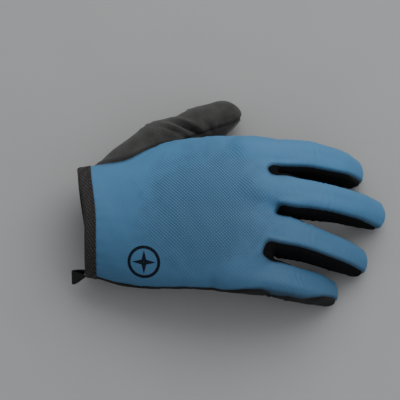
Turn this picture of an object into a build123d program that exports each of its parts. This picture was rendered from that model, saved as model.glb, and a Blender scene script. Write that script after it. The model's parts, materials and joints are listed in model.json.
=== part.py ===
"""Right-hand full-finger sailing glove, holding the shape of the relaxed hand that wears it.

It lies palm down: +X runs from the cuff to the fingertips, +Y towards the thumb, +Z out of the back of the hand.
The heel of the palm, the four fingertips and the thumb's tip rest on the plane Z = 0.
Each panel is a sewn sheet, modelled as a closed solid one fabric thick. Where a finger bends, its panels are cut
apart by a notch that closes at the end of the bend. All sizes are in millimetres.
"""

import math
import os

from build123d import *

# Fabric
FABRIC = 1.0  # the knit back, suede palm and stretch side strips
SEAM_REACH = 7.2  # a finger's back and front panels end this far either side of its middle

# Wrist and palm. Each section is an ellipse across the hand, and the last one is the web wall.
PALM_SECTIONS = (
    # forward, sideways, height, half width, half height, turn about Z and roll about X in degrees
    (-14.0, 0.0, 22.0, 32.5, 21.0, 0.0, 0.0),
    (0.0, -0.5, 22.0, 33.0, 21.0, 0.0, 0.0),
    (18.6, -1.0, 25.0, 38.8, 20.0, 0.0, 0.0),
    (36.0, -0.3, 30.0, 44.0, 18.5, 0.0, 0.0),
    (53.0, 0.3, 35.0, 47.0, 17.0, 0.0, 0.0),
    (71.0, -0.8, 39.3, 48.0, 15.8, -2.5, 1.0),
    (88.0, -2.9, 41.9, 48.2, 14.2, -5.0, 2.0),
    (106.0, -3.3, 41.0, 47.2, 12.0, -7.5, 3.0),
)
WRIST_MIDDLE = PALM_SECTIONS[1][2]  # height

# Fingers. The web point is where a finger leaves the hand. From there its three stretches slope
# down by these angles, and the last one ends at the centre of the round tip.
FINGERS = {
    "index": {
        "web": (108.5, 33.2),
        "heading": 1.8,
        "hinge_past_web": 7.5,
        "slopes": (20, 40, 57),
        "lengths": (19.5, 22.0, 15.0),
        "radii": (10.9, 10.7, 10.2, 9.8, 9.2),
        "strips": (-1,),
    },
    "middle": {
        "web": (113.0, 8.6),
        "heading": -0.2,
        "hinge_past_web": 6.0,
        "slopes": (18, 37, 52),
        "lengths": (21.0, 25.0, 18.0),
        "radii": (11.0, 10.8, 10.3, 9.9, 9.3),
        "strips": (-1, 1),
    },
    "ring": {
        "web": (105.6, -14.9),
        "heading": -5.7,
        "hinge_past_web": 6.5,
        "slopes": (18, 38, 53),
        "lengths": (20.5, 24.0, 16.0),
        "radii": (10.8, 10.6, 10.1, 9.7, 9.2),
        "strips": (-1, 1),
    },
    "little": {
        "web": (98.6, -39.6),
        "heading": -1.5,
        "hinge_past_web": 7.5,
        "slopes": (23, 43, 58),
        "lengths": (18.5, 18.5, 14.0),
        "radii": (10.0, 9.7, 9.1, 8.8, 8.4),
        "strips": (1,),
    },
}
BACK_WRAPS = "index"  # this finger's back panel runs down its outer side to mid-height
FINGER_ROOT = 24.0  # how far a finger's root runs back into the palm from its first hinge
FINGER_ROOT_SLOPE = 7.0

# Thumb. Its root lies nearly level, from the wrist to the first hinge.
THUMB_START = (10.0, 19.0)
THUMB_KNUCKLE = (40.6, 48.0)
THUMB_RISE = 1.5  # how much higher the knuckle is than the start
THUMB_HINGES = (-0.50, 0.55, -0.66)  # the direction of both hinges
THUMB_BENDS = (20.0, 8.0)  # the turn at each hinge, at rest
THUMB_LENGTHS = (25.0, 21.0)
THUMB_RADII = (14.0, 12.4, 11.2, 10.3)

# How far each hinge opens from rest, in degrees, from the knuckle to the tip
FINGER_FLEX = (35.0, 45.0, 27.0)
FINGER_EXTEND = (12.0, 18.0, 11.0)
THUMB_FLEX = (20.0, 35.0)
THUMB_EXTEND = (10.0, 12.0)
NOTCH_SPARE = 0.5  # degrees left over when a notch is closed
NOTCH_GAP = 0.4  # half the gap at the hinge
NOTCH_SPREAD = 5.0  # how far a notch runs past the fabric it trims
OVERRUN = 4.0  # each tube is made this much too long, and the notches trim it
CLEARANCE = 0.6  # between a limb's first moving stretch and the palm, in every position
REACH = 140.0  # further than any piece, for the solids that only cut
SEAM_DROP = 4.0  # how much lower the seam between back and palm runs past the web

# Trim, reinforcement and print
TRIM_X = 0.0  # the raw edge at the wrist
BINDING_OUT = 0.9
BINDING_IN = 0.8
BINDING_LIP = 1.2  # past the raw edge
BINDING_WIDTH = 5.5
TAB = {"length": 8.0, "width": 9.0, "thickness": 2.6, "webbing": 0.7, "angle": 208.0}
LABEL_THICKNESS = 0.4
LABEL = {"x": (7.0, 17.0), "y": (-9.0, 9.0)}
OVERLAY = 0.8
OVERLAY_OUTLINE = ((62, -30), (70, -38), (96, -38), (98, 0), (101, 34), (74, 34), (64, 22))
PAD = 2.6
PADS = {"heel_pad_outer": ((10, 42), (-30, -6)), "heel_pad_thumb": ((10, 38), (-1, 18))}
PAD_CORNER = 6.0
PRINT = 0.3
COMPASS = {"centre": (33.0, -33.6, 41.0), "tilt": 30.0, "ring": (9.3, 7.7), "star": (6.6, 1.9)}
PRINT_REACH = 12.0  # how far above and below its centre the print looks for the back
TOUCH_REACH = 3.0  # a touch patch starts this far before the centre of the tip


def direction(heading, slope):
    """A unit vector that points forward along a heading and down a slope."""
    h = math.radians(heading)
    s = math.radians(slope)
    return Vector(math.cos(h) * math.cos(s), math.sin(h) * math.cos(s), -math.sin(s))


def chain(side, first_way, ways, points, root, radii, flex, extend):
    """A limb: its hinge points and tip centre, and the direction of each stretch, root first."""
    return {
        "side": side,
        "ways": [first_way, *ways],
        "points": points,
        "start": points[0] - first_way * root,
        "root": root,
        "radii": radii,
        "flex": flex,
        "extend": extend,
    }


def finger_chain(spec):
    """A finger whose tip rests on Z = 0."""
    heading = spec["heading"]
    ways = [direction(heading, slope) for slope in spec["slopes"]]
    drop = sum(length * -way.Z for length, way in zip(spec["lengths"], ways))
    web = Vector(*spec["web"], spec["radii"][-1] + drop)
    points = [web + ways[0] * spec["hinge_past_web"], web + ways[0] * spec["lengths"][0]]
    for length, way in zip(spec["lengths"][1:], ways[1:]):
        points.append(points[-1] + way * length)
    side = direction(heading + 90, 0)
    first = direction(heading, FINGER_ROOT_SLOPE)
    return chain(side, first, ways, points, FINGER_ROOT, spec["radii"], FINGER_FLEX, FINGER_EXTEND)


def thumb_chain():
    """The thumb, whose tip also rests on Z = 0."""
    side = Vector(*THUMB_HINGES).normalized()
    along = Vector(THUMB_KNUCKLE[0] - THUMB_START[0], THUMB_KNUCKLE[1] - THUMB_START[1], THUMB_RISE)
    first = (along - side * along.dot(side)).normalized()
    back = first.cross(side)
    turns = [math.radians(THUMB_BENDS[0]), math.radians(sum(THUMB_BENDS))]
    ways = [first * math.cos(turn) - back * math.sin(turn) for turn in turns]
    drop = sum(length * -way.Z for length, way in zip(THUMB_LENGTHS, ways))
    points = [Vector(*THUMB_KNUCKLE, THUMB_RADII[-1] + drop)]
    for length, way in zip(THUMB_LENGTHS, ways):
        points.append(points[-1] + way * length)
    return chain(side, first, ways, points, along.length, THUMB_RADII, THUMB_FLEX, THUMB_EXTEND)


FINGER_CHAINS = {name: finger_chain(spec) for name, spec in FINGERS.items()}
THUMB = thumb_chain()


def limb_plane(limb, i):
    """Stretch i's own directions: X along it, Y along its hinges, Z out of its back. Stretch -1 is the root."""
    start = limb["start"] if i < 0 else limb["points"][i]
    way = limb["ways"][i + 1]
    return Plane(origin=start, x_dir=way, z_dir=way.cross(limb["side"]))


def stretch_length(limb, i):
    if i < 0:
        return limb["root"]
    return (limb["points"][i + 1] - limb["points"][i]).length


def is_tip(limb, i):
    return i + 2 == len(limb["points"])


def tube(limb, i, offset=0.0, overrun=OVERRUN):
    """Stretch i as a solid of revolution, grown by offset. It runs on past its hinges, and a tip is round."""
    length = stretch_length(limb, i)
    radius = limb["radii"][i + 1] + offset
    end_radius = limb["radii"][i + 2] + offset
    taper = (end_radius - radius) / length
    before = 0.0 if i < 0 else overrun
    first_radius = radius - taper * before
    if is_tip(limb, i):
        side = Polyline((length + end_radius, 0), (-before, 0), (-before, first_radius), (length, end_radius))
        profile = make_face([side, CenterArc((length, 0), end_radius, 0, 90)])
    else:
        far = length + overrun
        last_radius = end_radius + taper * overrun
        profile = make_face(Polyline((-before, 0), (-before, first_radius), (far, last_radius), (far, 0), close=True))
    return limb_plane(limb, i).location * revolve(profile, Axis.X)


def notch(limb, i, after):
    """What hinge i's notch takes from the stretch before it (after = -1) or the one behind it (after = 1)."""
    reach = limb["radii"][i + 1] + NOTCH_SPREAD
    back_angle = math.radians(limb["extend"][i] / 2 + NOTCH_SPARE)
    front_angle = math.radians(limb["flex"][i] / 2 + NOTCH_SPARE)
    depth = 3 * OVERRUN
    outline = [
        (NOTCH_GAP, 0),
        (NOTCH_GAP + reach * math.tan(back_angle), reach),
        (-depth, reach),
        (-depth, -reach),
        (NOTCH_GAP + reach * math.tan(front_angle), -reach),
    ]
    face = make_face(Polyline(*[(after * x, z) for x, z in outline], close=True))
    way = (limb["ways"][i] + limb["ways"][i + 1]).normalized()
    upright = Plane(origin=limb["points"][i], x_dir=way, z_dir=limb["side"] * -1)
    return upright.location * extrude(face, reach, both=True)


def stretch_shell(limb, i):
    """Stretch i as a fabric tube, open where its hinges are and trimmed by their notches."""
    shell = tube(limb, i) - tube(limb, i, -FABRIC, OVERRUN + 1) - notch(limb, i, 1)
    if not is_tip(limb, i):
        shell -= notch(limb, i + 1, -1)
    return shell


def root_tube(limb):
    """The root's outer form, trimmed by the first hinge's notch."""
    return tube(limb, -1) - notch(limb, 0, -1)


def palm_form(offset=0.0):
    """The palm and wrist as one lofted solid, grown by offset."""
    rings = []
    for x, y, z, half_width, half_height, turn, roll in PALM_SECTIONS:
        forward = direction(turn, 0)
        centre = Vector(x, y, z)
        if x == PALM_SECTIONS[-1][0]:
            centre += forward * offset
        plane = Plane(origin=centre, x_dir=direction(turn + 90, -roll), z_dir=forward)
        rings.append(plane * Ellipse(half_width + offset, half_height + offset))
    return loft(rings)


def box_between(x, y, z):
    """A box from its limits along each axis."""
    corner = Box(x[1] - x[0], y[1] - y[0], z[1] - z[0], align=(Align.MIN, Align.MIN, Align.MIN))
    return Pos(x[0], y[0], z[0]) * corner


def prism(outline):
    """A plan outline as an upright prism through the whole glove."""
    return extrude(make_face(Polyline(*outline, close=True)), REACH, both=True)


def back_half():
    """Everything above the seam that parts the back of the hand from the palm."""
    line = [(section[0], section[2]) for section in PALM_SECTIONS]
    outline = [(-REACH, line[0][1]), *line, (REACH, line[-1][1] - SEAM_DROP), (REACH, REACH), (-REACH, REACH)]
    return Plane.XZ.location * extrude(make_face(Polyline(*outline, close=True)), REACH, both=True)


def web_region(near, far):
    """The plan strip that the side strip between two neighbouring fingers fills, web wall included."""
    wall_x, wall_y, _, _, _, turn, _ = PALM_SECTIONS[-1]
    corners = []
    for limb, s in ((near, -1), (far, 1)):
        edge = limb["points"][0] + limb["side"] * (s * SEAM_REACH)
        along = Vector(limb["ways"][0].X, limb["ways"][0].Y, 0).normalized()
        wall = wall_x - math.tan(math.radians(turn)) * (edge.Y - wall_y) - 2 * FABRIC
        start = edge + along * ((wall - edge.X) / along.X)
        end = edge + along * (2 * OVERRUN)
        corners.append(((start.X, start.Y), (end.X, end.Y)))
    (near_start, near_end), (far_start, far_end) = corners
    return prism([near_start, near_end, far_end, far_start])


def hand_panels():
    """The sewn panels that don't move."""
    palm = palm_form()
    outer = palm
    inner = palm_form(-FABRIC)
    for limb in FINGER_CHAINS.values():
        outer += root_tube(limb)
        inner += tube(limb, -1, -FABRIC, OVERRUN + 1)
    thumb_hollow = tube(THUMB, -1, -FABRIC, OVERRUN + 1)
    shell = outer - inner - thumb_hollow - box_between((-REACH, TRIM_X), (-REACH, REACH), (-REACH, REACH))
    panels = {}
    names = list(FINGER_CHAINS)
    for near, far in zip(names, names[1:]):
        region = web_region(FINGER_CHAINS[near], FINGER_CHAINS[far])
        panels[f"fourchette_{near}_{far}"] = shell & region
        shell -= region
    above = back_half()
    panels["back_panel"] = shell & above
    panels["palm_panel"] = shell - above
    thumb_shell = root_tube(THUMB) - thumb_hollow - palm
    thumb_back = limb_plane(THUMB, -1).location * box_between((-REACH, REACH), (-REACH, REACH), (0, REACH))
    panels["thumb_back_root"] = thumb_shell & thumb_back
    panels["thumb_front_root"] = thumb_shell - thumb_back
    panels["palm_reinforcement"] = palm_reinforcement(outer, above)
    return panels


def palm_reinforcement(outer, above):
    """A second layer of suede under the finger roots."""
    grown = palm_form(OVERLAY)
    for limb in FINGER_CHAINS.values():
        grown += tube(limb, -1, OVERLAY)
    return (grown - outer - above) & prism(OVERLAY_OUTLINE)


def finger_panels(name, limb):
    """The back, front and side panels of each moving stretch of a finger."""
    strips = FINGERS[name]["strips"]
    panels = {}
    for i, stretch in enumerate(("base", "mid", "tip")):
        shell = stretch_shell(limb, i)
        if i == 0:
            shell = clear_of_palm(limb, shell)
        place = limb_plane(limb, i).location
        radial = REACH if name == BACK_WRAPS else SEAM_REACH
        back = place * box_between((-REACH, REACH), (-SEAM_REACH, radial), (0, REACH))
        panels[f"{name}_back_{stretch}"] = shell & back
        rest = shell - back
        sides = [sorted((s * SEAM_REACH, s * REACH)) for s in strips]
        cuts = [place * box_between((-REACH, REACH), side, (-REACH, REACH)) for side in sides]
        panels[f"{name}_sides_{stretch}"] = Compound([solid for cut in cuts for solid in (rest & cut).solids()])
        for cut in cuts:
            rest -= cut
        panels[f"{name}_front_{stretch}"] = rest
    return panels


def clear_of_palm(limb, shell):
    """Trims a limb's first moving stretch so that it never meets the palm as its knuckle turns."""
    palm = palm_form(CLEARANCE)
    hinge = Axis(limb["points"][0], limb["side"])
    flex = limb["flex"][0]
    for turn in (0, -flex / 2, -flex):
        shell -= palm.rotate(hinge, turn)
    return shell


def thumb_panels():
    """The back and front panels of the thumb's moving stretches."""
    panels = {}
    for i, stretch in enumerate(("base", "tip")):
        shell = stretch_shell(THUMB, i)
        if i == 0:
            shell = clear_of_palm(THUMB, shell)
        back = limb_plane(THUMB, i).location * box_between((-REACH, REACH), (-REACH, REACH), (0, REACH))
        panels[f"thumb_back_{stretch}"] = shell & back
        panels[f"thumb_front_{stretch}"] = shell - back
    return panels


def touch_patch(limb, front):
    """Parts the round end of a fingertip's front panel from the rest of it."""
    i = len(limb["points"]) - 2
    start = stretch_length(limb, i) - TOUCH_REACH
    beyond = limb_plane(limb, i).location * box_between((start, REACH), (-REACH, REACH), (-REACH, REACH))
    return front - beyond, front & beyond


def cuff_binding():
    """Elastic folded over the raw edge, inside and out."""
    band = palm_form(BINDING_OUT) - palm_form(-FABRIC - BINDING_IN)
    band &= box_between((-BINDING_LIP, BINDING_WIDTH), (-REACH, REACH), (-REACH, REACH))
    sewn_in = palm_form() - palm_form(-FABRIC)
    sewn_in &= box_between((TRIM_X, REACH), (-REACH, REACH), (-REACH, REACH))
    return band - sewn_in


def pull_tab():
    """A folded loop of webbing on the binding's edge."""
    _, y, z, half_width, half_height, _, _ = PALM_SECTIONS[1]
    angle = math.radians(TAB["angle"])
    rim = Vector(-BINDING_LIP, y + half_width * math.cos(angle), z + half_height * math.sin(angle))
    tangent = Vector(0, -half_width * math.sin(angle), half_height * math.cos(angle)).normalized()
    radius = TAB["thickness"] / 2
    straight = TAB["length"] - radius
    section = Pos(straight / 2, 0) * Rectangle(straight, 2 * radius) + Pos(straight, 0) * Circle(radius)
    hole_radius = radius - TAB["webbing"]
    section -= Pos(straight / 2, 0) * Rectangle(straight, 2 * hole_radius) + Pos(straight, 0) * Circle(hole_radius)
    plane = Plane(origin=rim, x_dir=(-1, 0, 0), z_dir=tangent)
    return plane.location * extrude(section, TAB["width"] / 2, both=True)


def heel_pad(x, y):
    """Foam behind the heel of the palm."""
    outline = RectangleRounded(x[1] - x[0], y[1] - y[0], PAD_CORNER)
    below = Pos((x[0] + x[1]) / 2, (y[0] + y[1]) / 2, WRIST_MIDDLE) * extrude(outline, -REACH)
    return (palm_form(-FABRIC) - palm_form(-FABRIC - PAD)) & below


def care_label():
    """A blank woven label inside the back, near the cuff."""
    layer = palm_form(-FABRIC) - palm_form(-FABRIC - LABEL_THICKNESS)
    return layer & box_between(LABEL["x"], LABEL["y"], (WRIST_MIDDLE, REACH))


def back_motif():
    """A printed compass rose: a ring around a four-pointed star."""
    outer, inner = COMPASS["ring"]
    point, waist = COMPASS["star"]
    corners = [(waist if k % 2 else point, math.radians(45 * k)) for k in range(8)]
    star = make_face(Polyline(*[(r * math.cos(a), r * math.sin(a)) for r, a in corners], close=True))
    tilt = math.radians(COMPASS["tilt"])
    plane = Plane(origin=COMPASS["centre"], x_dir=(1, 0, 0), z_dir=(0, -math.sin(tilt), math.cos(tilt)))
    layer = palm_form(PRINT) - palm_form()
    pieces = [plane.location * extrude(face, PRINT_REACH, both=True) for face in (Circle(outer) - Circle(inner), star)]
    return Compound([solid for piece in pieces for solid in (layer & piece).solids()])


def glove():
    """Every piece by name."""
    pieces = hand_panels()
    for name, limb in FINGER_CHAINS.items():
        pieces.update(finger_panels(name, limb))
    pieces.update(thumb_panels())
    for name, limb in (("index", FINGER_CHAINS["index"]), ("thumb", THUMB)):
        front, patch = touch_patch(limb, pieces[f"{name}_front_tip"])
        pieces[f"{name}_front_tip"] = front
        pieces[f"{name}_touch_tip"] = patch
    pieces["cuff_binding"] = cuff_binding()
    pieces["pull_tab"] = pull_tab()
    pieces["care_label"] = care_label()
    pieces["back_motif"] = back_motif()
    for name, (x, y) in PADS.items():
        pieces[name] = heel_pad(x, y)
    return pieces


def origin_shift(pieces):
    """Moves the origin to the surface that the glove lies on, below the middle of the whole glove."""
    bounds = Compound(list(pieces.values())).bounding_box()
    return Pos(-bounds.center().X, -bounds.center().Y, -bounds.min.Z)


PIECES = glove()
SHIFT = origin_shift(PIECES)
os.makedirs("parts", exist_ok=True)
for node, piece in PIECES.items():
    export_step(SHIFT * piece, f"parts/{node}.step")
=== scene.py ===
"""A right-hand sailing glove in its worn shape: knit back, suede palm, side strips, thumb and bound cuff.

The outer surface is one smooth field around the hand's limbs. It is meshed once, cut along its seams and
in the middle of each finger bone, and then folded and stitched. Lengths are in millimetres until a piece is
made.
"""

import json
import math

import bpy
import numpy as np
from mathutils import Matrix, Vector
from mathutils.bvhtree import BVHTree

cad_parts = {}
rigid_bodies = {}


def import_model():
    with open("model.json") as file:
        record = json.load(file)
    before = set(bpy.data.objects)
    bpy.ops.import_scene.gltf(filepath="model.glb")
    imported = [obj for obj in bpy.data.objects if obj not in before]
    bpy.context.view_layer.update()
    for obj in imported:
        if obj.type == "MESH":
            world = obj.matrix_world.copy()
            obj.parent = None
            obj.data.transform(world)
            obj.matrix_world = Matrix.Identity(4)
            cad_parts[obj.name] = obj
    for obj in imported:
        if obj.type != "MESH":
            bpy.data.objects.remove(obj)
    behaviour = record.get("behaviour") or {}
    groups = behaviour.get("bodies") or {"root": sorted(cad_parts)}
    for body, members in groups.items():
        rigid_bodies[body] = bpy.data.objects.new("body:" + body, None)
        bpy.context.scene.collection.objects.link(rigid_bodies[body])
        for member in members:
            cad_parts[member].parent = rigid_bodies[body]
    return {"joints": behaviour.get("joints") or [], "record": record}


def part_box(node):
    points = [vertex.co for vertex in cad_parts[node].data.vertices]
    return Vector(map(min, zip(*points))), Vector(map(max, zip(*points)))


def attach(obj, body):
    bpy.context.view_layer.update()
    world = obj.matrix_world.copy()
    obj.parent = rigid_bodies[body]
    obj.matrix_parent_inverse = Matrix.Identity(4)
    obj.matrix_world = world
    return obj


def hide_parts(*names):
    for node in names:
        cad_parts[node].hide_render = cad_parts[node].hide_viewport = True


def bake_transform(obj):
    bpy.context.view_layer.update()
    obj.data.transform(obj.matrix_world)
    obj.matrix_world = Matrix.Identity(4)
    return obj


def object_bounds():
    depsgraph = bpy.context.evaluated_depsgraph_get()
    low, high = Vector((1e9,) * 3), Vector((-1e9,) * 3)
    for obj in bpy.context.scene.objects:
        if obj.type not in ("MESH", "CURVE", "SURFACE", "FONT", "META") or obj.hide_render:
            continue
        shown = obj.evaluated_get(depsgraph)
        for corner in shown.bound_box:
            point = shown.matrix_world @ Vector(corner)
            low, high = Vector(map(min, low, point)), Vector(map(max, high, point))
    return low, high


for leftover in list(bpy.data.objects):
    bpy.data.objects.remove(leftover)
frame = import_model()
CAD_BOX = [list(corner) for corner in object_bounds()]
MM = 0.001
JOINTS = {joint["name"]: joint for joint in frame["joints"]}
WRIST = np.array(frame["record"]["mounts"][0]["pos_m"]) / MM

# Cloth
GRID = 1.0  # spacing of the mesh
THICKNESS = 0.9
SEAM_REACH = 5.6  # a side strip starts this far from the middle of the finger beside it
SEAM_DEPTH = 0.55
SEAM_WIDTH = 0.8
FOLD_PITCH = 4.6  # between the small folds under a joint and between the puckers along a seam

# Palm, as oval sections measured from the middle of the wrist opening:
# forward, sideways, height, half width, half height, roll in degrees
PALM = np.array(
    [
        (-13.0, -0.8, 0.0, 31.4, 21.0, 0.0),
        (1.2, -1.3, 0.0, 32.0, 21.0, 0.0),
        (19.8, -1.9, 3.0, 37.6, 20.0, 0.0),
        (37.2, -1.6, 8.0, 42.4, 18.5, 0.0),
        (54.2, -1.1, 13.0, 45.3, 17.0, 0.0),
        (72.2, -2.2, 17.3, 46.3, 15.8, 1.0),
        (89.2, -4.0, 19.9, 46.7, 14.2, 2.0),
        (107.2, -4.3, 19.0, 46.0, 12.0, 3.0),
        (125.0, -4.4, 16.0, 44.8, 10.0, 3.0),
    ]
)
KNUCKLE_SECTION = PALM[7]
WEB_WALL = (107.2, 0.13)  # forward place of the wall between the fingers, and its slant
RAW_EDGE = 1.2
KNUCKLE_STATION = -19.0  # the hand's own knuckles, behind the fingers' first hinges
THUMB_UP = (0.35, 0.94)  # which way the outer edge of the thumb faces: across it, and out of its back
THUMB_FURTHER = 1.12  # how much further around the cloth the thumb's hinge lies than its sideways place
CUFF_LEAN = 5.5  # how far the cuff's edge leans back on the thumb's side
TAB_TWIST = 0.95  # radians, so that the tab's end turns its face up

# Limbs: radii at the root's start, at each hinge and at the tip
RADII = {
    "index": (10.4, 10.5, 9.8, 9.4, 9.0),
    "middle": (10.4, 10.3, 9.3, 9.1, 8.9),
    "ring": (10.2, 10.1, 9.1, 8.9, 8.7),
    "little": (9.4, 8.9, 8.1, 7.9, 7.7),
    "thumb": (14.0, 12.4, 11.2, 10.3),
}
SWAY = {  # how far each of those places stands towards the thumb from the straight line
    "index": (-2.0, -2.6, -1.4, -0.6, 0.0),
    "middle": (-1.9, -2.2, -2.4, -1.2, 0.0),
    "ring": (-1.2, -1.3, -1.7, -1.8, -0.8),
    "little": (-1.4, -1.9, -1.9, 0.3, 1.5),
    "thumb": (0.0, 0.0, 0.0, 0.0),
}
FINGER_ROOT = 24.0  # how far inside the palm a finger starts, behind its first hinge
ROOT_SLOPE = 7.0
THUMB_ROOT = np.array((30.6, 29.0, 1.5))  # from the thumb's start, inside the palm, to its first hinge
FINGERS = ("index", "middle", "ring", "little")
JOINT_NAMES = {name: (f"{name}_knuckle", f"{name}_middle_joint", f"{name}_end_joint") for name in FINGERS}
JOINT_NAMES["thumb"] = ("thumb_knuckle", "thumb_joint")
BODY_NAMES = {name: ("hand", f"{name}_base", f"{name}_mid", f"{name}_tip") for name in FINGERS}
BODY_NAMES["thumb"] = ("hand", "thumb_base", "thumb_tip")
# How far each finger's lower side swells past its root
FULLER = {"index": 1.9, "middle": 2.5, "ring": 2.5, "little": 2.9}
# How much wider each finger's back panel is on its lower side at the root, and narrower at the tip
BACK_WIDER = {"index": (0.0, 2.0), "middle": (1.3, -0.4), "ring": (0.2, 1.2), "little": (3.4, 1.8)}
# Sideways and forward place of each slit's end, and of a place beyond each side of the hand
FORKS = ((-32.5, 101.4), (-3.6, 110.6), (20.2, 105.2))
BESIDE = ((-62.0, 124.0), (62.0, 124.0))
BLEND_SHARE = 0.34  # half of a bending zone, as a share of the shorter bone beside it
LATEST_START = {"ring": -1.2, "thumb": 8.5}  # a bending zone starts no earlier than this from its hinge


def smoothstep(low, high, value):
    t = np.clip((value - low) / (high - low), 0, 1)
    return t * t * (3 - 2 * t)


def bell(value, width):
    """1 where value is 0, and about a third where it equals width."""
    return np.exp(-((value / width) ** 2))


def smooth_min(a, b, k):
    h = np.clip(0.5 + 0.5 * (b - a) / k, 0, 1)
    return b * (1 - h) + a * h - k * h * (1 - h)


def unit(v):
    return v / np.linalg.norm(v)


def units(rows, least=0.0):
    """Each row as a unit vector; rows shorter than least stay short."""
    return rows / np.maximum(np.linalg.norm(rows, axis=1), least)[:, None]


def run_along(points):
    """How far along a line of points each point is."""
    return np.concatenate([[0], np.cumsum(np.linalg.norm(np.diff(points, axis=0), axis=1))])


def row_at(place, places, rows):
    """A row filled in between the rows that stand at the given places."""
    return np.array([np.interp(place, places, column) for column in rows.T])


def mixed(rows, i, share):
    """Rows i and i + 1 mixed by a share."""
    share = share.reshape(-1, *[1] * (rows.ndim - 1))
    return rows[i] * (1 - share) + rows[i + 1] * share


def direction(heading, slope):
    """A unit vector along a heading, and down a slope, in radians and degrees."""
    s = math.radians(slope)
    return np.array((math.cos(heading) * math.cos(s), math.sin(heading) * math.cos(s), -math.sin(s)))


class Limb:
    """A finger or the thumb as a smooth line down its middle, with a radius at each place."""

    def __init__(self, name):
        joints = [JOINTS[j] for j in JOINT_NAMES[name]]
        self.name = name
        self.side = unit(np.array(joints[0]["axis"]))
        self.hinges = [np.array(j["pos_m"]) / MM for j in joints]
        corners = [*self.hinges, self.tip_centre(RADII[name][-1])]
        root = THUMB_ROOT
        if name != "thumb":
            root = direction(math.atan2(-self.side[0], self.side[1]), ROOT_SLOPE) * FINGER_ROOT
        corners = np.array([corners[0] - root, *corners]) + np.outer(SWAY[name], self.side)
        self.line, self.radius = self.rounded(corners, np.array(RADII[name]))
        self.station = run_along(self.line)
        self.station -= self.station[self.nearest_to(self.hinges[0])]
        self.tangent = units(np.gradient(self.line, axis=0))
        self.back = np.cross(self.tangent, self.side)
        self.bones = [np.linalg.norm(b - a) for a, b in zip(corners[1:], corners[2:])]
        self.hinge_stations = [self.station[self.nearest_to(hinge)] for hinge in self.hinges]

    def nearest_to(self, point):
        return np.argmin(np.linalg.norm(self.line - point, axis=1))

    def tip_centre(self, radius):
        """The centre of the round tip, from the box of its CAD pieces."""
        nodes = [n for n in frame["record"]["behaviour"]["bodies"][f"{self.name}_tip"]]
        high = np.max([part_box(n)[1] for n in nodes], axis=0) / MM
        low = np.min([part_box(n)[0] for n in nodes], axis=0) / MM
        x = high[0] - radius
        z = low[2] + radius
        last = self.hinges[-1]
        y = last[1] - (self.side[0] * (x - last[0]) + self.side[2] * (z - last[2])) / self.side[1]
        return np.array((x, y, z))

    @staticmethod
    def rounded(corners, values):
        """Corner cutting: the line bends smoothly where the bones meet."""
        points = np.column_stack([corners, values])
        for _ in range(4):
            a, b = points[:-1], points[1:]
            middle = np.stack([a * 0.75 + b * 0.25, a * 0.25 + b * 0.75], axis=1).reshape(-1, 4)
            points = np.vstack([points[:1], middle[1:-1], points[-1:]])
        return points[:, :3], points[:, 3]

    def local(self, q):
        """Station along the limb, distance across and out of its back, past its end, and its radius there."""
        parts = [self.local_part(q[first : first + 60000]) for first in range(0, max(len(q), 1), 60000)]
        return [np.concatenate(rows) for rows in zip(*parts)]

    def local_part(self, p):
        nearest = ((self.line**2).sum(1) - 2 * p @ self.line.T).argmin(1)
        last = len(self.line) - 2
        before, after = np.clip(nearest - 1, 0, last), np.clip(nearest, 0, last)
        tries = [self.on_segment(p, i) for i in (before, after)]
        i = np.where(tries[0][1] < tries[1][1], before, after)
        u, _ = self.on_segment(p, i)
        w = p - mixed(self.line, i, u)
        out, past = (w * mixed(self.back, i, u)).sum(1), (w * mixed(self.tangent, i, u)).sum(1)
        return mixed(self.station, i, u), w @ self.side, out, past, mixed(self.radius, i, u)

    def on_segment(self, p, i):
        ab = self.line[i + 1] - self.line[i]
        u = np.clip(((p - self.line[i]) * ab).sum(1) / (ab**2).sum(1), 0, 1)
        return u, ((p - self.line[i] - u[:, None] * ab) ** 2).sum(1)

    def at(self, station):
        """The point and direction of the middle line at a station."""
        point, way = (row_at(station, self.station, rows) for rows in (self.line, self.tangent))
        return point, unit(way)


limbs = {name: Limb(name) for name in RADII}


# The outer surface


def limb_field(limb, q):
    """Signed distance to a limb with a slightly square section and a broad, flat-ended tip."""
    station, across, out, past, radius = limb.local(q)
    end = limb.station[-1]
    flat = 1 - 0.08 * smoothstep(end - 12, end + 2, station)
    joint = sum(bell(station - h, 6.0) for h in limb.hinge_stations[1:])
    radius = radius * (1 + 0.025 * joint)
    power = 2.3 - 0.25 * smoothstep(end - 10, end, station)
    whole = (np.abs(past) ** power + np.abs(across) ** power + np.abs(out / flat) ** power) ** (1 / power)
    if limb.name == "thumb":
        radius = radius + thumb_shape(station, across, out, past, end)
    else:
        fuller = FULLER[limb.name] * bell(station - 18, 23)
        radius = radius + fuller * smoothstep(0, 8, -across)
    return whole - radius


def thumb_shape(station, across, out, past, end):
    """What a bent thumb adds to a plain limb: a slim start, a knuckle, a waist and an upturned tip."""
    inward = -(across * THUMB_UP[0] + out * THUMB_UP[1])
    outer, inner = smoothstep(3, -7, inward), smoothstep(-2, 8, inward)
    run = station + past
    start = 2.4 * smoothstep(-20, -38, station)
    knuckle = 1.1 * bell(station - 1.5, 8) * outer
    waist = 2.0 * bell(station - 14, 9) * outer
    tip = 1.3 * bell(run - end + 1, 5) * outer
    return knuckle - waist - start + tip - 3.4 * inner * smoothstep(end - 7, end + 5, run)


def palm_at(x):
    """The palm's section at each forward place."""
    return [np.interp(x, PALM_FINE[:, 0], PALM_FINE[:, k]) for k in range(1, 6)]


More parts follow.
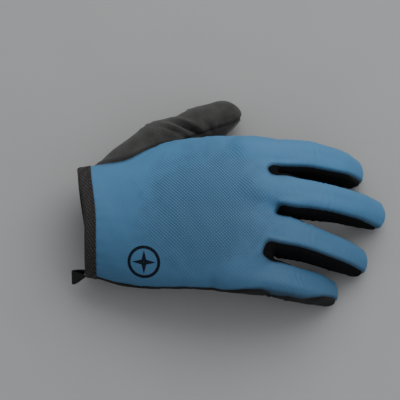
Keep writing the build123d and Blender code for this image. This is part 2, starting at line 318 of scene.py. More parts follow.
def spline_rows(rows, count):
    """Rows of numbers, smoothly filled in between (Catmull-Rom over the first column)."""
    x = np.linspace(rows[0, 0], rows[-1, 0], count)
    slopes = np.gradient(rows, rows[:, 0], axis=0)
    i = np.clip(np.searchsorted(rows[:, 0], x) - 1, 0, len(rows) - 2)
    h = (rows[i + 1, 0] - rows[i, 0])[:, None]
    t = (x - rows[i, 0])[:, None] / h
    fine = (
        (2 * t**3 - 3 * t**2 + 1) * rows[i]
        + (t**3 - 2 * t**2 + t) * h * slopes[i]
        + (3 * t**2 - 2 * t**3) * rows[i + 1]
        + (t**3 - t**2) * h * slopes[i + 1]
    )
    fine[:, 0] = x
    return fine


PALM_FINE = spline_rows(PALM, 160)


def palm_local(q):
    """Forward place, and place across and above the palm's section, as shares of its half sizes."""
    p = q - WRIST
    y, z, a, b, roll = palm_at(p[:, 0])
    turn = np.radians(roll)
    dy, dz = p[:, 1] - y, p[:, 2] - z
    across = dy * np.cos(turn) + dz * np.sin(turn)
    up = dz * np.cos(turn) - dy * np.sin(turn)
    return p[:, 0], across, up, a, b


def palm_field(q):
    x, across, up, a, b = palm_local(q)
    u, v = across / a, up / b
    rho = np.sqrt(u * u + v * v) + 1e-9
    slope = np.sqrt((u / a) ** 2 + (v / b) ** 2) / rho + 1e-9
    section = (rho - 1) / slope
    hollow = 2.6 * np.exp(-(((x - 66) / 24) ** 2) - (((across - 4) / 17) ** 2)) * smoothstep(2, -6, up)
    section = section + hollow
    y = q[:, 1] - WRIST[1]
    wall = x - (WEB_WALL[0] + WEB_WALL[1] * np.minimum(y + 2.8, 0) + 5.0 * bell(y + 14, 8))
    return -smooth_min(-section, -wall, 8.0)


def glove_field(q):
    """Signed distance to the whole glove, outside positive."""
    palm = palm_field(q)
    whole = None
    web = 0.8 + 3.4 * bell(slit_start(q) + 6, 8)
    for name in FINGERS:
        one = smooth_min(palm, limb_field(limbs[name], q), 4.5)
        whole = one if whole is None else smooth_min(whole, one, web)
    return smooth_min(whole, limb_field(limbs["thumb"], q), 3.2)


def surface_net(values, low, step):
    """The zero surface of a grid of values as vertices and triangles."""
    cells = tuple(n - 1 for n in values.shape)
    total = np.zeros((np.prod(cells), 3))
    count = np.zeros(np.prod(cells))
    quads = []
    for axis in range(3):
        ahead = tuple(slice(1, None) if k == axis else slice(None) for k in range(3))
        behind = tuple(slice(None, -1) if k == axis else slice(None) for k in range(3))
        v0, v1 = values[behind], values[ahead]
        edges = np.argwhere((v0 < 0) != (v1 < 0))
        e0, e1 = v0[tuple(edges.T)], v1[tuple(edges.T)]
        place = edges.astype(float)
        place[:, axis] += e0 / (e0 - e1)
        one, two = [k for k in range(3) if k != axis]
        if axis == 1:
            one, two = two, one
        around = []
        fits = np.ones(len(edges), bool)
        for d1, d2 in ((0, 0), (1, 0), (1, 1), (0, 1)):
            cell = edges.copy()
            cell[:, one] -= d1
            cell[:, two] -= d2
            fits &= np.all((cell >= 0) & (cell < cells), axis=1)
            around.append(cell)
        around = [np.ravel_multi_index(tuple(c[fits].T), cells) for c in around]
        for index in around:
            np.add.at(total, index, place[fits])
            np.add.at(count, index, 1)
        loop = np.stack(around, axis=1)
        outward = e0[fits] < 0
        loop[~outward] = loop[~outward][:, ::-1]
        quads.append(loop)
    quads = np.vstack(quads)
    used, quads = np.unique(quads, return_inverse=True)
    quads = quads.reshape(-1, 4)
    points = total[used] / count[used][:, None] * step + low
    return points, np.vstack([quads[:, [0, 1, 2]], quads[:, [0, 2, 3]]])


def gradient(field, q, step=0.35):
    out = np.empty_like(q)
    for k in range(3):
        d = np.zeros(3)
        d[k] = step
        out[:, k] = (field(q + d) - field(q - d)) / (2 * step)
    return out


def band_values(field, low, high, coarse=3, reach=4.5):
    """The field on the fine grid: exact near the surface, filled in from a coarse grid elsewhere."""
    cells = np.ceil((high - low) / (GRID * coarse)).astype(int)
    axes = [a + np.arange(n + 1) * GRID * coarse for a, n in zip(low, cells)]
    rough = field(np.stack(np.meshgrid(*axes, indexing="ij"), axis=-1).reshape(-1, 3)).reshape(cells + 1)
    for k in range(3):
        rough = np.moveaxis(rough, k, 0)
        steps = [rough[:-1] * (1 - j / coarse) + rough[1:] * (j / coarse) for j in range(coarse)]
        filled = np.stack(steps, axis=1).reshape(-1, *rough.shape[1:])
        rough = np.moveaxis(np.concatenate([filled, rough[-1:]]), 0, k)
    near = np.argwhere(np.abs(rough) < reach)
    rough[tuple(near.T)] = field(low + near * GRID)
    return rough


def glove_surface():
    """The bare outer surface, from just behind the raw edge at the wrist to the fingertips."""
    low = np.array(CAD_BOX[0]) / MM - 3
    high = np.array(CAD_BOX[1]) / MM + 3
    low[0] = WRIST[0] - 4
    points, triangles = surface_net(band_values(glove_field, low, high), low, GRID)
    for _ in range(2):
        g = gradient(glove_field, points)
        step = glove_field(points) / np.maximum((g**2).sum(1), 0.2)
        points = points - g * np.clip(step, -0.7, 0.7)[:, None]
    return points, triangles


def cut(points, triangles, values, chosen=None):
    """Splits the chosen triangles where values changes sign, so that the line runs along edges."""
    values = np.where(np.abs(values) < 0.03, 0.0, values)
    some = triangles if chosen is None else triangles[chosen]
    edges = np.sort(some[:, [0, 1, 1, 2, 2, 0]].reshape(-1, 2), axis=1)
    edges = np.unique(edges[values[edges[:, 0]] * values[edges[:, 1]] < 0], axis=0)
    if not len(edges):
        return points, triangles
    a, b = edges.T
    share = (values[a] / (values[a] - values[b]))[:, None]
    count = len(points)
    keys = a * count + b
    sides = np.sort(triangles[:, [0, 1, 1, 2, 2, 0]].reshape(-1, 3, 2), axis=2)
    side_keys = sides[..., 0] * count + sides[..., 1]
    place = np.minimum(np.searchsorted(keys, side_keys), len(keys) - 1)
    split = keys[place] == side_keys
    middle = place + count
    whole = triangles[split.sum(1) == 0]
    pieces = [whole]
    one = split.sum(1) == 1
    k = split[one].argmax(1)
    rows = np.arange(len(k))
    t, m = triangles[one], middle[one][rows, k]
    i, j, l = t[rows, k], t[rows, (k + 1) % 3], t[rows, (k + 2) % 3]
    pieces += [np.stack([i, m, l], 1), np.stack([m, j, l], 1)]
    two = split.sum(1) == 2
    k = (~split[two]).argmax(1)
    rows = np.arange(len(k))
    t, m = triangles[two], middle[two]
    i, j, l = t[rows, k], t[rows, (k + 1) % 3], t[rows, (k + 2) % 3]
    mj, ml = m[rows, (k + 1) % 3], m[rows, (k + 2) % 3]
    pieces += [np.stack([i, j, mj], 1), np.stack([i, mj, ml], 1), np.stack([mj, l, ml], 1)]
    return np.vstack([points, points[a] * (1 - share) + points[b] * share]), np.vstack(pieces)


# Which panel and which body each place belongs to


def limb_across(name, q):
    """Distance across a finger from its middle plane, towards the thumb."""
    return (q - limbs[name].hinges[0]) @ limbs[name].side - SWAY[name][1]


def seam_height(q):
    """Height above the seam between back and palm, which rises towards the little finger's root."""
    x, across, up, _, _ = palm_local(q)
    lift = (3.2 * smoothstep(25, 105, x) + 3.5 * smoothstep(84, 120, x)) * smoothstep(10, -10, across)
    return up - lift


def slit_start(q):
    """How far a place is behind the ends of the slits between the fingers."""
    ys, xs = zip(BESIDE[0], *FORKS, BESIDE[1])
    return np.interp(q[:, 1] - WRIST[1], ys, xs) - (q[:, 0] - WRIST[0])


def back_value(q):
    """Positive on the blue back panel."""
    hand = np.minimum(slit_start(q), seam_height(q))
    whole = hand
    for name in FINGERS:
        station, across, out, past, radius = limbs[name].local(q)
        tip = smoothstep(0.35, 1.02, (station + past) / limbs[name].station[-1])
        reach = radius * (0.79 + 0.14 * smoothstep(-6, 16, station))
        more, less = BACK_WIDER[name]
        more = more * (1 - tip) * smoothstep(-22, 4, station)
        one = np.minimum(across + reach + more - less * tip, out)
        if name != "index":
            one = np.minimum(one, reach - 0.8 * tip - across)
        whole = -smooth_min(-whole, -one, 4.5)
    return whole


def strip_value(q):
    """Positive on the side strips between the fingers, as one value for each gap."""
    values = []
    for near, far in zip(FINGERS, FINGERS[1:]):
        between = np.minimum(-limb_across(near, q) - SEAM_REACH, limb_across(far, q) - SEAM_REACH)
        values.append(np.minimum(between, -slit_start(q)))
    return values


def thumb_value(q):
    """Positive on the thumb, which is set into the hand where the two forms meet."""
    return palm_field(q) - limb_field(limbs["thumb"], q)


def bending_zones(limb):
    """The start and end of the bending zone at each hinge, and the stations where the pieces part."""
    zones = []
    spans = [limb.bones[0], *limb.bones]
    for k, hinge in enumerate(limb.hinge_stations):
        half = min(5.5, min(spans[k], spans[k + 1]) * BLEND_SHARE)
        start, end = hinge - half, hinge + half
        if k == 0 and limb.name in LATEST_START:
            start = hinge + LATEST_START[limb.name]
            end = start + 6.8
        zones.append((start, end))
    parts = [zones[0][0]]
    for (_, end), (start, _) in zip(zones, zones[1:]):
        parts.append((end + start) / 2)
    return zones, parts


ZONES = {name: bending_zones(limb) for name, limb in limbs.items()}


def part_plane(name, k, q):
    """Positive past the plane where piece k of a limb starts."""
    limb = limbs[name]
    zones, parts = ZONES[name]
    point, way = limb.at(parts[k])
    if k == 0:
        a, b = limb.at(zones[0][0])[0], limb.at(zones[0][1])[0]
        way = unit(b - a)
    return (q - point) @ way


def owner_of(q):
    """The finger whose part of the glove a place is in; the thumb is told apart by its seam."""
    owner = np.full(len(q), 0)
    for k, (near, far) in enumerate(zip(FINGERS, FINGERS[1:])):
        owner[limb_across(near, q) + limb_across(far, q) < 0] = k + 1
    owner = np.array(FINGERS)[owner]
    owner = owner.astype("<U8")
    owner[thumb_value(q) > 0] = "thumb"
    return owner


def build_surface():
    """The glove's surface with every seam and every parting plane running along edges."""
    points, triangles = glove_surface()
    edge = WRIST[0] + RAW_EDGE
    points, triangles = cut(points, triangles, points[:, 0] - edge)
    triangles = triangles[points[triangles].mean(1)[:, 0] > edge]
    points, triangles = cut(points, triangles, thumb_value(points))
    on_thumb = thumb_value(points[triangles].mean(1)) > 0
    points, triangles = cut(points, triangles, back_value(points), ~on_thumb)
    for k in range(len(FINGERS) - 1):
        middle = points[triangles].mean(1)
        rest = (thumb_value(middle) < 0) & (back_value(middle) < 0)
        points, triangles = cut(points, triangles, strip_value(points)[k], rest)
    on_thumb = thumb_value(points[triangles].mean(1)) > 0
    points, triangles = cut(points, triangles, limbs["thumb"].local(points)[2], on_thumb)
    for name in limbs:
        for k in range(len(ZONES[name][1])):
            mine = owner_of(points[triangles].mean(1)) == name
            points, triangles = cut(points, triangles, part_plane(name, k, points), mine)
    used, triangles = np.unique(triangles, return_inverse=True)
    return points[used], triangles.reshape(-1, 3)


# Folds, puckers and seams


def waves(q, size, seed):
    """A gentle random swell about as broad as size, between roughly -1 and 1."""
    rng = np.random.default_rng(seed)
    total = np.zeros(len(q))
    for _ in range(7):
        way = unit(rng.normal(size=3)) * 2 * math.pi / (size * rng.uniform(0.8, 1.7))
        total += np.sin(q @ way + rng.uniform(0, 2 * math.pi))
    return total / 2.6


def fold_across(across, along, place, heading, length, depth, width):
    """One fold in a limb's cloth: a narrow valley with a soft ridge beside it, fading at both ends."""
    a, s = across - place[1], along - place[0]
    c, t = math.cos(math.radians(heading)), math.sin(math.radians(heading))
    run, off = a * c + s * t, s * c - a * t
    fade = bell(run, length)
    return depth * fade * (-bell(off, width) + 0.8 * bell(off - 1.9 * width, 1.3 * width))


def seam_groove(value, depth=SEAM_DEPTH):
    """The valley of a sewn seam and the cloth that stands up on both sides of it."""
    lips = bell(np.abs(value) - 2.0 * SEAM_WIDTH, SEAM_WIDTH)
    return depth * (0.35 * lips - bell(value, SEAM_WIDTH))


def finger_folds(name, q):
    """Cross folds over and under a finger's joints."""
    limb = limbs[name]
    station, across, out, _, radius = limb.local(q)
    above = smoothstep(-0.3, 0.5, out / radius)
    total = np.zeros(len(q))
    for k, hinge in enumerate(limb.hinge_stations):
        away = station - hinge
        wobble = 1.1 * np.sin(across / 3.4 + hinge + 2 * k) + 0.5 * waves(q, 8, 20 + k)
        under = np.cos((away + wobble) * 2 * math.pi / FOLD_PITCH) * bell(away, 4.6)
        over = np.cos((away - 0.8 + wobble) * 2 * math.pi / 3.6) * bell(away, 4.0)
        total += 0.36 * under * (1 - above) - (0.2 if k == 1 else 0.08) * over * above
    pulp = bell(station - limb.hinge_stations[-1] - 8, 7) * (1 - above)
    return total + 0.35 * pulp


# Each fold's place along and across the thumb, heading, length, depth and width
THUMB_FOLDS = (
    ((16.0, -1.0), 42, 9.0, 2.1, 1.5),
    ((7.0, -4.0), 40, 6.0, 1.2, 1.1),
    ((11.5, 3.0), 44, 6.0, 0.6, 1.1),
    ((-6.0, 0.0), 35, 8.0, 0.4, 1.8),
    ((27.0, 0.0), 25, 7.0, 0.35, 1.6),
)


def thumb_folds(q):
    """Slanting folds over the thumb's knuckle, and how deep each place lies in one, which sets the painted
    shade in those folds.
    """
    limb = limbs["thumb"]
    station, across, out, _, _ = limb.local(q)
    inward = -(across * THUMB_UP[0] + out * THUMB_UP[1])
    seen = smoothstep(-2, 5, out * THUMB_UP[0] - across * THUMB_UP[1] + 3)
    folds = sum(fold_across(inward, station, *fold) for fold in THUMB_FOLDS) * seen
    under = np.zeros(len(q))
    for k, hinge in enumerate(limb.hinge_stations):
        away = station - hinge + 0.8 * waves(q, 9, 30 + k)
        under += 0.36 * np.cos(away * 2 * math.pi / FOLD_PITCH) * bell(away, 5.0) * (1 - seen)
    return folds + under, smoothstep(-0.4, -1.8, folds)


def palm_folds(q):
    """The knuckles under the back, the pads and creases of the palm, and the gathers at the cuff."""
    x, across, up, a, b = palm_local(q)
    top = smoothstep(-0.25, 0.45, up / b)
    total = 0.55 * waves(q * (0.7, 1.0, 1.0), 34, 3) * top * smoothstep(4, 26, x)
    for name in FINGERS:
        knuckle, _ = limbs[name].at(KNUCKLE_STATION)
        flat = np.hypot((q[:, 0] - knuckle[0]) / 9.5, (q[:, 1] - knuckle[1]) / 7.0)
        total += 0.85 * np.exp(-(flat**2)) * top
        valley = np.hypot((q[:, 0] - knuckle[0] - 12) / 8.0, (q[:, 1] - knuckle[1]) / 8.0)
        total -= 0.3 * np.exp(-(valley**2)) * top
    under = 1 - top
    ball = np.hypot((x - 40) / 22, (across - 24) / 17)
    heel = np.hypot((x - 32) / 24, (across + 23) / 13)
    total += (1.3 * np.exp(-(ball**3)) + 1.2 * np.exp(-(heel**3))) * under
    creases = (
        (0.75, np.hypot(x - 26, across - 36) - 44 + 1.5 * np.sin(x / 9), 1.6, smoothstep(16, 30, x)),
        (0.6, x - 84 - 0.10 * across - 3.0 * np.sin(across / 17), 1.5, smoothstep(-36, -24, across)),
        (0.45, x - 71 + 0.45 * (across - 10), 1.8, smoothstep(34, 20, np.abs(across))),
    )
    for depth, line, width, fade in creases:
        total -= depth * bell(line, width) * under * fade
    total += 0.35 * waves(q, 15, 8) * under * smoothstep(6, 24, x)
    side = bell(up, 6.0)
    total += 0.10 * np.sin(x * 2 * math.pi / 9.5 + 1.5 * np.sin(x / 11)) * side * smoothstep(20, 34, x)
    angle = np.arctan2(across / a, up / b)
    gather = np.sin(angle * 31 + 1.3 * np.sin(angle * 5)) * np.exp(-((x - 5.5) / 6.5))
    return total + (0.12 + 0.2 * under) * gather * smoothstep(3.5, 6.0, x)


def displacement(q):
    """How far the cloth's surface stands off the smooth form, and a painted shade that is darkest on a seam
    and in the thumb's deep folds.
    """
    palm, thumb = palm_field(q), limb_field(limbs["thumb"], q)
    on_thumb = smoothstep(-4, 1, palm - thumb)
    fingers = np.stack([limb_field(limbs[name], q) for name in FINGERS])
    on_finger = smoothstep(1.5, 6.0, palm - fingers.min(0)) * (1 - on_thumb)
    mine = fingers.argmin(0)
    total = palm_folds(q) * (1 - on_finger) * (1 - on_thumb)
    for k, name in enumerate(FINGERS):
        total += finger_folds(name, q) * on_finger * (mine == k)
    folds, deep = thumb_folds(q)
    total += folds * on_thumb
    back = back_value(q)
    strips = np.max(strip_value(q), axis=0)
    half = limbs["thumb"].local(q)[2]
    behind_slit = slit_start(q) > 0
    near_front = np.where(behind_slit | (back > 0), 9.0, np.abs(strips))
    x = q[:, 0] - WRIST[0]
    seams = [np.where(palm < thumb, np.abs(back), 9.0), near_front, np.abs(palm - thumb) * 0.8]
    seams.append(np.where(palm > thumb, np.abs(half), 9.0))
    nearest = np.min(seams, axis=0)
    total += seam_groove(nearest)
    pucker = np.sin(x * 2 * math.pi / FOLD_PITCH + 1.2 * waves(q, 20, 5)) * bell(nearest, 2.6)
    total += np.where(back > -0.5, 0.045, 0.10) * pucker
    total += 0.08 * waves(q, 11, 12) + 0.03 * waves(q, 5.5, 13)
    total += 1.7 * smoothstep(-1, 2.5, strips) * bell(slit_start(q) + 8, 8)
    # Painted shade: dark right on the seams and deep in the thumb's folds.
    dark = np.maximum(bell(nearest, 1.1), 0.8 * deep * on_thumb)
    return total * smoothstep(-1.5, 6.0, x), dark


def vertex_normals(points, triangles):
    a, b, c = (points[triangles[:, k]] for k in range(3))
    face = np.cross(b - a, c - a)
    normals = np.zeros_like(points)
    for k in range(3):
        np.add.at(normals, triangles[:, k], face)
    return units(normals, 1e-9)


def palm_arc(y):
    """How far around the palm a sideways place is at the knuckles, measured on the cloth from the top."""
    _, middle, _, a, b, _ = KNUCKLE_SECTION
    angle = math.asin((y - middle) / a)
    return angle * (a + b) / 2 + math.sin(2 * angle) * (a - b) / 4


def cloth_place(q, under):
    """Where each place lies on the flat cloth, in metres: along the hand, and around it."""
    sign = np.where(under, -1.0, 1.0)
    x, across, up, a, b = palm_local(q)
    angle = np.arctan2(across / a, sign * up / b)
    along, around = x, angle * (a + b) / 2 + np.sin(2 * angle) * (a - b) / 4
    for name, limb in limbs.items():
        station, side, out, _, radius = limb.local(q)
        mine = limb_field(limb, q) < 2.0
        first = limb.hinges[0] - WRIST
        middle = palm_arc(first[1]) if name != "thumb" else first[1] * THUMB_FURTHER
        share = smoothstep(-16, -2, station) if name != "thumb" else smoothstep(-20, 6, station)
        share = np.where(mine, share, 0)
        along = along * (1 - share) + (first[0] + station) * share
        around = around * (1 - share) + (middle + np.arctan2(side, sign * out) * radius) * share
    return np.stack([along, around], axis=1) * MM


def lean(points):
    """The cuff's edge leans back on the thumb's side, so that it follows the wrist's crease."""
    x, y = points[:, 0] - WRIST[0], points[:, 1] - WRIST[1]
    back = CUFF_LEAN * smoothstep(-12, 34, y) * smoothstep(26, -4, x)
    return np.column_stack([points[:, 0] - back, points[:, 1], points[:, 2]])


class Skin:
    """The finished outer surface of the glove, with what each vertex and triangle needs to become a piece."""

    def __init__(self):
        smooth, self.triangles = build_surface()
        form = vertex_normals(smooth, self.triangles)
        # self.seam is a painted shade for each vertex, dark along the seams and in the thumb's folds.
        offset, self.seam = displacement(smooth)
        self.smooth = smooth
        self.points = lean(smooth + form * offset[:, None])
        self.normals = vertex_normals(self.points, self.triangles)
        middle = smooth[self.triangles].mean(1)
        self.owner = owner_of(middle)
        strips = np.array(strip_value(middle))
        self.gap = strips.argmax(0)
        self.panel = np.full(len(middle), "front", dtype="<U8")
        self.panel[strips.max(0) > 0] = "sides"
        self.panel[back_value(middle) > 0] = "back"
        thumb = self.owner == "thumb"
        self.panel[thumb] = np.where(limbs["thumb"].local(middle[thumb])[2] > 0, "back", "front")
        self.part = np.zeros(len(middle), int)
        for name in limbs:
            for k in range(len(ZONES[name][1])):
                past = part_plane(name, k, middle) > 0
                self.part[(self.owner == name) & past] = k + 1


skin = Skin()


# Pieces


def place_in_scene(name, data):
    obj = bpy.data.objects.new(name, data)
    bpy.context.scene.collection.objects.link(obj)
    return obj


def make_mesh(name, points, faces, normals=None, uv=None, seam=None):
    """An object from millimetre points; normals and uv are one row for each corner of each face."""
    mesh = bpy.data.meshes.new(name)
    mesh.from_pydata((np.asarray(points) * MM).tolist(), [], [list(map(int, f)) for f in faces])
    mesh.update()
    if uv is not None:
        mesh.uv_layers.new(name="cloth").data.foreach_set("uv", np.asarray(uv, float).ravel())
    # The seam attribute carries the painted shade along seams and in folds.
    if seam is not None:
        mesh.attributes.new("seam", "FLOAT", "POINT").data.foreach_set("value", np.asarray(seam, float))
    mesh.shade_smooth()
    if normals is not None:
        mesh.normals_split_custom_set(np.asarray(normals).tolist())
    return place_in_scene(name, mesh)


def sheet_from(name, triangles, outer=0.0, inner=-THICKNESS, under=False, surface=None):
    """A closed sheet of cloth over some of the skin's triangles, between two offsets from the surface."""
    surface = surface or (skin.smooth, skin.points, skin.normals, skin.seam)
    # The last of these is the painted shade at each vertex.
    smooth, all_points, all_normals, all_painted_shade = surface
    used, local = np.unique(triangles, return_inverse=True)
    local = local.reshape(-1, 3)
    points, normals = all_points[used], all_normals[used]
    outer = np.broadcast_to(outer if np.isscalar(outer) else outer[used], len(used))[:, None]
    inner = np.broadcast_to(inner if np.isscalar(inner) else inner[used], len(used))[:, None]
    n = len(used)
    edges = local[:, [0, 1, 1, 2, 2, 0]].reshape(-1, 2)
    keys = edges[:, 0] * n + edges[:, 1]
    border = edges[~np.isin(keys, edges[:, 1] * n + edges[:, 0])]
    a, b = border.T
    both = np.vstack([points + normals * outer, points + normals * inner])
    rim = np.vstack([np.stack([b, a, a + n], 1), np.stack([b, a + n, b + n], 1)])
    faces = np.vstack([local, local[:, ::-1] + n, rim])
    corner = np.vstack([normals, -normals])[faces.ravel()]
    p = both[rim]
    flat = units(np.cross(p[:, 1] - p[:, 0], p[:, 2] - p[:, 0]), 1e-9)
    corner[-rim.size :] = np.repeat(flat, 3, axis=0)
    place = cloth_place(smooth[used], under)
    uv = np.vstack([place, place])[faces.ravel()]
    return make_mesh(name, both, faces, corner, uv, np.tile(all_painted_shade[used], 2))


def finish_piece(obj, slot, *nodes, body="hand"):
    """Gives a piece the material of its slot, hides the CAD pieces it stands for, and attaches it to a body
    if one is given.
    """
    obj.data.materials.append(MATERIALS[slot])
    if nodes:
        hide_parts(*nodes)
    if body:
        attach(obj, body)
    return obj


def bend(piece, name, part):
    """Works out the ends of a piece's bending zone, which nothing uses, and bakes the piece's transform."""
    limb = limbs[name]
    start, end = (limb.at(station)[0] * MM for station in ZONES[name][0][part - 1])
    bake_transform(piece)


def cloth_piece(name, node, chosen, slot, under=False, limb=None, part=0):
    """One sewn piece of cloth, on the hand or in the part of a limb past one of its hinges."""
    piece = sheet_from(f"cloth_{name}", skin.triangles[chosen], under=under)
    if part:
        bend(piece, limb, part)
    finish_piece(piece, slot, node, body=None if part else "hand")


def limb_cloth(limb, first, words, slots):
    """The pieces of a finger or the thumb, one for each panel and stretch."""
    for panel, slot in slots.items():
        for part, word in enumerate(words, start=first):
            chosen = (skin.owner == limb) & (skin.panel == panel) & (skin.part == part)
            node = f"{limb}_{panel}_{word}"
            cloth_piece(node, node, chosen, slot, panel == "front", limb, part)


def hand_cloth():
    hand = (skin.part == 0) & (skin.owner != "thumb")
    cloth_piece("back", "back_panel", hand & (skin.panel == "back"), "back_knit")
    cloth_piece("palm", "palm_panel", hand & (skin.panel == "front"), "palm_suede", under=True)
    for k, (near, far) in enumerate(zip(FINGERS, FINGERS[1:])):
        node = f"fourchette_{near}_{far}"
        cloth_piece(node, node, hand & (skin.panel == "sides") & (skin.gap == k), "side_knit")


# Shapes laid on or under the skin


def box_mm(node):
    low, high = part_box(node)
    return np.array(low) / MM, np.array(high) / MM


def inside_box(q, low, high, corner):
    """Distance inside a rounded rectangle seen from above, positive inside."""
    middle, half = (low + high)[:2] / 2, (high - low)[:2] / 2 - corner
    d = np.abs(q[:, :2] - middle) - half
    return corner - np.hypot(*np.maximum(d, 0).T) - np.minimum(d.max(1), 0)


def inside_outline(q, outline):
    """Distance inside a closed outline seen from above, positive inside."""
    points = np.array(outline)
    best = np.full(len(q), 1e9)
    inside = np.zeros(len(q), bool)
    for a, b in zip(points, np.roll(points, -1, axis=0)):
        t = np.clip(((q[:, :2] - a) @ (b - a)) / ((b - a) @ (b - a)), 0, 1)
        best = np.minimum(best, np.linalg.norm(q[:, :2] - a - t[:, None] * (b - a), axis=1))
        crosses = (a[1] > q[:, 1]) != (b[1] > q[:, 1])
        x = a[0] + (q[:, 1] - a[1]) / (b[1] - a[1] + 1e-12) * (b[0] - a[0])
        inside ^= crosses & (q[:, 0] < x)
    return np.where(inside, best, -best)


def cut_skin(values, chosen):
    """The skin's chosen triangles cut along a line, with every vertex property carried over."""
    packed = np.column_stack([skin.smooth, skin.points, skin.normals, skin.seam, values])
    rows, triangles = cut(packed, skin.triangles[chosen], values)
    keep = rows[triangles][:, :, -1].mean(1) > 0
    surface = rows[:, :3], rows[:, 3:6], units(rows[:, 6:9]), rows[:, 9]
    return surface, triangles[keep], rows[:, -1]


def under_palm(slope):
    """The triangles of the palm panel that face down by more than a slope."""
    chosen = (skin.part == 0) & (skin.panel == "front") & (skin.owner != "thumb")
    return chosen & (skin.normals[skin.triangles].mean(1)[:, 2] < slope)


# The reinforcement's edge, seen from above
OUTLINE = WRIST[:2] + (
    (63.2, -29.5),
    (71.2, -37.5),
    (97.2, -37.5),
    (99.2, 0.5),
    (102.2, 34.5),
    (75.2, 34.5),
    (65.2, 22.5),
)


def reinforcement():
    """The second layer of suede under the palm, with a double row of stitches along its edge."""
    surface, triangles, depth = cut_skin(inside_outline(skin.smooth, OUTLINE) - 1.2, under_palm(0))
    groove = sum(bell(depth - d, 0.55) for d in (1.8, 3.8))
    outer = 0.85 * np.sqrt(np.clip(depth / 0.8, 0, 1)) + 0.1 - 0.42 * groove
    quilt = np.abs(np.sin((surface[0][:, 0] - surface[0][:, 1] * 0.35) * math.pi / 9.0))
    outer = outer + 0.25 * np.minimum(quilt * 2.2, 1) * smoothstep(5, 8, depth)
    piece = sheet_from("cloth_reinforcement", triangles, outer, 0.02, under=True, surface=surface)
    finish_piece(piece, "reinforcement_suede", "palm_reinforcement")


def heel_pads():
    for node in ("heel_pad_outer", "heel_pad_thumb"):
        low, high = box_mm(node)
        inside = inside_box(skin.smooth, low - 0.3, high + 0.3, 6.0)
        surface, triangles, depth = cut_skin(inside, under_palm(-0.2))
        swell = 2.4 * np.sqrt(1 - (1 - np.clip(depth / 7.0, 0, 1)) ** 2)
        outer, inner = -THICKNESS - 0.12, -THICKNESS - 0.25 - swell
        piece = sheet_from(f"padded_{node}", triangles, outer, inner, True, surface)
        finish_piece(piece, "foam", node)


def touch_patches():
    """A thin conductive patch on the pulp of the index finger and of the thumb."""
    for name, reach, half in (("index", 11.0, 7.0), ("thumb", 13.0, 8.0)):
        limb = limbs[name]
        station, across, out, past, _ = limb.local(skin.smooth)
        run = station + np.maximum(past, 0) - (limb.station[-1] - 2)
        inside = 5.0 - np.hypot(*np.maximum([np.abs(run) - reach + 8, np.abs(across) - half + 5], 0))
        inside = np.where(out < -0.5, np.minimum(inside, -0.5 - out), -1.0)
        chosen = (skin.owner == name) & (skin.panel == "front") & (skin.part == len(ZONES[name][1]))
        surface, triangles, depth = cut_skin(inside, chosen)
        outer = 0.36 * np.sqrt(np.clip(depth / 0.5, 0, 1)) + 0.04 - 0.22 * bell(depth - 1.2, 0.35)
        piece = sheet_from(f"patch_{name}", triangles, outer, 0.02, under=True, surface=surface)
        finish_piece(piece, "touch_fabric", f"{name}_touch_tip", body=f"{name}_tip")


def outer_tree():
    """The skin's outer surface, for laying small things on it."""
    hand = skin.part == 0
    return BVHTree.FromPolygons(skin.points.tolist(), skin.triangles[hand].tolist())


def laid(tree, points, way, lift):
    """Points dropped along a direction onto the skin and raised a little off it, with its normals there."""
    places, normals = [], []
    for p in points:
        hit, normal, _, _ = tree.ray_cast(Vector(p) - Vector(way) * 40, Vector(way))
        if hit is None:
            hit, normal, _, _ = tree.find_nearest(Vector(p))
        if normal.dot(Vector(way)) > 0:
            normal = -normal
        places.append(np.array(hit) + np.array(normal) * lift)
        normals.append(np.array(normal))
    return np.array(places), np.array(normals)


def grid_faces(rows, columns, closed_rows=False, closed_columns=False):
    """Quads over a grid of points stored row by row."""
    r = np.arange(rows if closed_rows else rows - 1)
    c = np.arange(columns if closed_columns else columns - 1)
    i, j = (m.ravel() for m in np.meshgrid(r, c, indexing="ij"))
    i2, j2 = (i + 1) % rows, (j + 1) % columns
    return np.stack([i * columns + j, i * columns + j2, i2 * columns + j2, i2 * columns + j], axis=1)


RING = (7.7, 9.3)  # inner and outer radius
STAR = (6.6, 1.9)  # radius at the points and between them


def compass():
    """A plain compass rose printed near the cuff: a ring and a four-pointed star."""
    low, high = box_mm("back_motif")
    centre = (low + high) / 2
    way = np.array((0.0, 0.5, -0.87))
    across = unit(np.cross((1.0, 0, 0), way))
    turns = np.linspace(0, 2 * math.pi, 145)[:-1]
    points, faces = [], []

    def add_band(inner, outer, rows):
        """A flat band between two radii, which may change with the angle."""
        first = len(points)
        for share in np.linspace(0, 1, rows):
            radius = inner(turns) * (1 - share) + outer(turns) * share
            for r, t in zip(radius, turns):
                points.append(centre + (1.0, 0, 0) * np.array(r * math.cos(t)) + across * (r * math.sin(t)))
        faces.extend((grid_faces(rows, len(turns), closed_columns=True) + first).tolist())

    def star(t):
        fold = np.abs(((t + math.pi / 4) % (math.pi / 2)) - math.pi / 4)
        tip, waist = STAR
        ux, uy = waist * math.cos(math.pi / 4), waist * math.sin(math.pi / 4)
        return tip * uy / (uy * np.cos(fold) + (tip - ux) * np.sin(fold))

    def circle(radius):
        return lambda t: np.full(len(t), radius)

    add_band(circle(RING[0]), circle(RING[1]), 3)
    add_band(circle(0.25), star, 9)
    tree = outer_tree()
    places, back = (laid(tree, points, way, lift)[0] for lift in (0.13, 0.02))
    count = len(places)
    faces = np.array(faces)
    both = np.vstack([places, back])
    p = both[faces[0]]
    if np.cross(p[1] - p[0], p[2] - p[0]) @ way > 0:
        faces = faces[:, ::-1]
    piece = make_mesh("printed_compass", both, np.vstack([faces, faces[:, ::-1] + count]))
    finish_piece(piece, "print", "back_motif")


# The cuff


